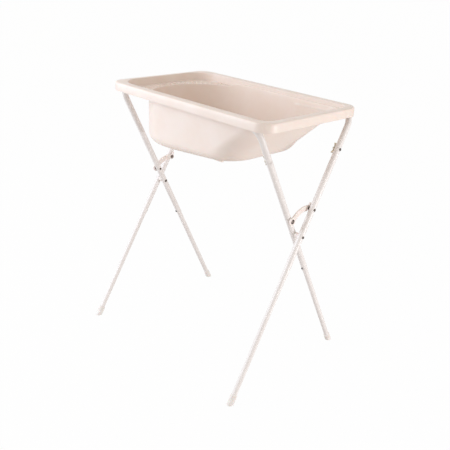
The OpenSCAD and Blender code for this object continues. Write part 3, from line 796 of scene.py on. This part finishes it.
    def upper_rings(self, across: np.ndarray) -> list[np.ndarray]:
        """Rings of the upper skin, from the basin's lip over the ledge and the rim to the skirt's edge.

        Each rounded edge is a quarter circle: the lip, the cove at the foot of the well, the well's top
        edge and the rim's outer edge. The skirt ends in a half circle as wide as the wall.

        Args:
            across: Shares of the way over the ledge that have a ring.

        Returns:
            The rings.
        """
        grown, top, lip, cove, edge = self.grown, self.rim_height, self.lip, self.cove, self.rim_edge
        quarter = [(math.sin(a), math.cos(a)) for a in arc(0, 90, 5)]
        lip_plan, cove_plan = grown(self.mouth, lip), grown(self.well, -cove)
        rows = [self.ledge_ring(grown(self.mouth, lip * (1 - c)), lip * (s - 1)) for s, c in quarter]
        rows += [self.ledge_ring(lip_plan, 0.0, cove_plan, t) for t in across]
        rows += [self.ledge_ring(grown(self.well, cove * (s - 1)), cove * (1 - c)) for s, c in quarter]
        rows += [self.ring(grown(self.well, lip * (1 - c)), top - lip * (1 - s)) for s, c in quarter]
        inset = -self.taper - edge
        rows += [self.ring(grown(self.rim, inset + edge * s), top - edge * (1 - c)) for s, c in quarter]
        half = self.wall / 2
        low = top - self.skirt + half
        rows += [
            self.ring(grown(self.rim, half * (math.cos(a) - 1)), low - half * math.sin(a))
            for a in arc(0, 180, 7)
        ]
        return rows

    def under_rings(self, across: np.ndarray) -> list[np.ndarray]:
        """Rings of the underside, from inside the skirt over the well to the basin's outer wall.

        Args:
            across: Shares of the way under the ledge that have a ring.

        Returns:
            The rings.
        """
        wall, bevel = self.wall, self.under_bevel
        under = self.rim_height - wall
        below_well, below_mouth = self.grown(self.well, wall - 1), self.grown(self.mouth, wall)
        rows = [
            self.ring(self.grown(self.rim, -self.taper - wall), under - bevel),
            self.ring(self.grown(self.rim, -self.taper - wall - bevel), under),
            self.ring(self.grown(self.well, wall), under),
            self.ledge_ring(self.grown(self.well, wall), 1 - wall),
        ]
        rows += [self.ledge_ring(below_well, -wall, below_mouth, t) for t in (0.0, *across, 1.0)]
        return rows

    def skin(self) -> np.ndarray:
        """The whole closed skin, ring by ring: up the inside, over the rim and down the outside.

        Returns:
            An array of shape (rings, points, 3).
        """
        wall, shares, across = self.wall, self.shares(), np.linspace(0, 1, 17)[1:-1]
        rows = self.floor_rings(0.0) + self.fillet_rings(0.0)[::-1]
        rows += [self.wall_ring(float(f), 0.0) for f in shares[::-1][1:]]
        rows += self.upper_rings(across) + self.under_rings(across)
        rows += [self.wall_ring(float(f), wall) for f in shares if f * self.wall_height > 2 * wall][:-1]
        rows += self.fillet_rings(wall) + self.floor_rings(wall)[::-1]
        return np.stack(rows)

    def build(self) -> None:
        """Makes the shell with its drain hole, the moulded feet and the ribs of the soap shelf."""
        shell = make_piece("bath_shell", [(self.skin(), True)], "bath", BATH_PLASTIC)
        self._cut_drain(shell)
        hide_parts("tub")
        LOG.info("bath_shell: %d faces", len(shell.data.polygons))
        self._feet()
        self._ribs()

    def _cut_drain(self, shell: bpy.types.Object) -> None:
        """Bores the drain hole through the floor: a round plug, turned about its own axis, is cut away.

        Args:
            shell: The bath's shell.
        """
        r, z0, z1 = self.drain_radius, self.floor_z - 12, self.floor_z + 8
        bore = turned(np.array([[0.0, z0], [r, z0], [r, z1], [0.0, z1]]), 64) + [self.drain_x, 0, 0]
        cutter = make_piece("drain_cutter", [(bore, True)], "bath", BATH_PLASTIC)
        cut = shell.modifiers.new("drain", "BOOLEAN")
        cut.operation, cut.solver, cut.object = "DIFFERENCE", "EXACT", cutter
        apply_modifiers(shell)
        bpy.data.objects.remove(cutter)

    def _feet(self) -> None:
        """Makes the two feet moulded under the rising floor.

        Each is a ring of its plan carried upwards: the lowest rings draw in as a quarter circle, which
        rounds the bottom edge, and the last two follow the floor and end inside its wall.
        """
        bottom, edge = self.floor_z - self.wall - self.pad_out, self.pad_edge
        plan = np.array([*self.pad_x, self.pad_half, self.pad_corner, self.pad_corner])
        grids = []
        for side in (-1, 1):
            rings = [self.ring(plan, bottom) * [1, 0, 1]]
            rings += [
                self.ring(self.grown(plan, edge * (math.sin(a) - 1)), bottom + edge * (1 - math.cos(a)))
                for a in arc(0, 90, 6)
            ]
            top = self.ring(plan, self.floor_z - self.wall / 2)
            top[:, 2] += self.seat_rise * self.rise(top[:, 0])
            rings += [top, top * [1, 0, 1]]
            grids.append((np.stack(rings) + [0.0, side * self.pad_y, 0.0], True))
        make_piece("bath_feet", grids, "bath", BATH_PLASTIC)
        LOG.info("bath_feet: two feet under the raised floor")

    def _ribs(self) -> None:
        """Makes the ribs of the soap shelf, set like spokes round the end of the basin.

        Each is a half tube whose radius falls to nothing at its ends as the square root of 1 - t^6, with
        t from -1 to 1 along it. A rib ends before it meets the well's wall: at the angle v from the
        bath's axis it may reach R / sin(v) from the centre of the mouth's corner, R being that corner's
        radius.
        """
        corner, tall = self.foot_radii[0], self.rib_tall
        start = corner + self.lip + self.rib_gap
        rib_z = self.rim_height - self.soap_drop
        centre = np.array([self.mouth[0] + corner, self.mouth[2] - corner])
        t = np.linspace(-1, 1, 25)[:, None]
        a = arc(-12, 192, 15)[None, :]
        r = self.rib_radius * np.sqrt(np.clip(1 - t**6, 0, 1))
        step = math.radians(self.rib_turn)
        turns = [(0.0, 0)] + [(step * i, side) for i in range(self.rib_pairs) for side in (-1, 1)]
        grids = []
        for turn, side in turns:
            length = min(self.rib_length, corner / max(math.sin(turn), 0.02) - start)
            along = start + length * (1 + t) / 2 + 0 * a
            off = r * np.cos(a)
            x = centre[0] - along * math.cos(turn) + off * math.sin(turn)
            y = side * (centre[1] + along * math.sin(turn) + off * math.cos(turn)) if side else off
            grids.append((np.stack([x, y, rib_z + tall * r * np.sin(a)], -1), False))
        make_piece("soap_shelf_ribs", grids, "bath", BATH_PLASTIC)
        LOG.info("soap_shelf_ribs: %d ribs", len(grids))


# ------------------------------------------------------------------ stand --


@dataclass
class StandFrame:
    """One of the two bent-tube frames, for the pieces that are placed along its legs."""

    side: int
    body: str
    leg_top_x: float
    bar_y: float = 235.0
    bar_z: float = 985.5
    tilt: float = 29.0324
    splay: float = 0.7644
    tube_radius: float = 11.0

    def place(self, x: float, along: float) -> np.ndarray:
        """Matrix from leg coordinates, with -Z down the frame's plane, to the row frame.

        Args:
            x: Place along the bath.
            along: Distance down from the bar in the frame's plane.

        Returns:
            A 4 by 4 matrix in millimetres.
        """
        a = -self.side * math.radians(self.tilt)
        turn = np.array([[1, 0, 0], [0, math.cos(a), -math.sin(a)], [0, math.sin(a), math.cos(a)]])
        matrix = np.eye(4)
        matrix[:3, :3] = turn
        matrix[:3, 3] = np.array([0, self.side * self.bar_y, self.bar_z]) + turn @ np.array([x, 0, -along])
        return matrix

    def leg_x(self, along: float) -> float:
        """Returns the x of the right leg's centre line at a distance down from the bar."""
        return self.leg_top_x + along * math.tan(math.radians(self.splay))


@dataclass
class WingNut:
    """A cast wing nut: a hub turned from a profile, and two wings with round tips."""

    frame: StandFrame
    node: str
    along: float = 148.0
    wing: float = 19.0
    hub: float = 5.5
    height: float = 7.0
    bore: float = 3.1
    play: float = 0.1

    def build(self) -> None:
        """Makes the nut on its bolt and hides the CAD node."""
        h, r, b = self.height, self.hub, self.bore
        profile = np.array([
            [b, 0.3], [b + 0.3, 0.0], [r + 0.2, 0.0], [r + 0.5, 0.4], [r + 0.3, 1.6], [r - 0.4, h - 1.6],
            [r - 1.1, h - 0.4], [r - 1.6, h], [b + 0.5, h], [b, h - 0.5], [b, 0.3],
        ])
        grids = [(turned(profile), True)]
        # A wing is a closed tube of flat ovals: t runs from the hub to the tip, the oval's centre rises
        # with t and its height swells and closes as a circle does.
        t = np.linspace(0, 1, 22)[:, None]
        a = np.linspace(0, 2 * math.pi, 20, endpoint=False)[None, :]
        reach = self.hub - 1.2 + (self.wing - self.hub + 1.2) * np.sin(t * math.pi / 2)
        tall = 2.0 + 3.0 * np.sin(np.clip(t * 1.15, 0, 1) * math.pi / 2)
        close = np.sqrt(np.clip(1 - np.clip((t - 0.55) / 0.45, 0, 1) ** 2, 0, 1))
        mid = 4.0 + 4.2 * t**1.3
        thick = (1.3 - 0.3 * t) * np.clip(close * 1.2, 0, 1)
        for turn in (1, -1):
            x = turn * (reach + 0 * a)
            grids.append((np.stack([x, thick * np.sin(a), mid + tall * close * np.cos(a)], -1), True))
        face_x = self.frame.leg_x(self.along) - self.frame.tube_radius - self.play
        tip = np.eye(4)
        tip[:3, :3] = np.array([[0, 0, -1], [0, 1, 0], [1, 0, 0]])
        matrix = self.frame.place(face_x, self.along) @ tip
        piece = make_piece(
            self.node + "_cast", [(moved(g, matrix), ring) for g, ring in grids], self.frame.body, BRASS
        )
        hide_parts(self.node)
        LOG.info("%s: %d faces", piece.name, len(piece.data.polygons))


@dataclass
class SpringLeaf:
    """A V of spring steel inside a lower leg. It closes as its snap button is pressed in."""

    place: str
    body: str
    edge: float = 0.15
    slack: float = 0.08

    def build(self) -> None:
        """Copies the leaf's solid and rounds its edges.
        """
        node = frame["nodes"][f"leaf_{self.place}"]
        joint = next(j for j in frame["joints"] if j["name"] == f"button_{self.place}_press")
        mesh = bpy.data.meshes.new(f"leaf_{self.place}_strip")
        solid = bmesh.new()
        solid.from_mesh(node.data)
        bmesh.ops.remove_doubles(solid, verts=solid.verts, dist=WELD_M)
        bmesh.ops.dissolve_limit(solid, angle_limit=math.radians(1), verts=solid.verts, edges=solid.edges)
        solid.to_mesh(mesh)
        solid.free()
        piece = bpy.data.objects.new(mesh.name, mesh)
        bpy.context.scene.collection.objects.link(piece)
        rounding = piece.modifiers.new("edges", "BEVEL")
        rounding.width, rounding.segments, rounding.limit_method = self.edge * MM, 2, "ANGLE"
        apply_modifiers(piece)
        piece.data.materials.clear()
        piece.data.materials.append(SPRING_STEEL.material())
        points = np.empty(3 * len(piece.data.vertices))
        piece.data.vertices.foreach_get("co", points)
        points = points.reshape(-1, 3)
        depth = points @ np.array(joint["axis"], float)
        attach(piece, self.body)
        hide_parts(node.name)
        tuple(joint["axis"])
        tuple(map(float, points[depth.argmax()]))
        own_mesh(piece)
        LOG.info("%s: %d faces", piece.name, len(piece.data.polygons))


def dress_frame_nodes() -> None:
    """Gives every CAD node the finish of its material slot. One bolt was painted with its tube."""
    by_slot = {finish.slot: finish for finish in FINISHES}
    painted_over = {"inner_joint_bolt": TUBE_PAINT}
    for part in frame["record"]["subparts"]:
        node = frame["nodes"][part["node"]]
        material = painted_over.get(part["node"], by_slot[part["material_slot"]]).material()
        if not node.material_slots:
            node.data.materials.append(material)
        for slot in node.material_slots:
            slot.material = material


def main() -> None:
    """Builds the shot, the studio, the bath and the stand."""
    logging.basicConfig(level=logging.INFO, format="%(name)s: %(message)s")
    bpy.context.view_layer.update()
    Shot().build()
    Studio().build()
    dress_frame_nodes()
    Bath().build()
    outer = StandFrame(side=1, body="rear_frame", leg_top_x=382.58)
    inner = StandFrame(side=-1, body="front_frame", leg_top_x=347.78)
    WingNut(outer, "outer_wing_nut").build()
    WingNut(inner, "inner_wing_nut").build()
    for side in ("left", "right"):
        SpringLeaf(f"outer_{side}", outer.body).build()
        SpringLeaf(f"inner_{side}", inner.body).build()


if __name__ == "__main__":
    main()
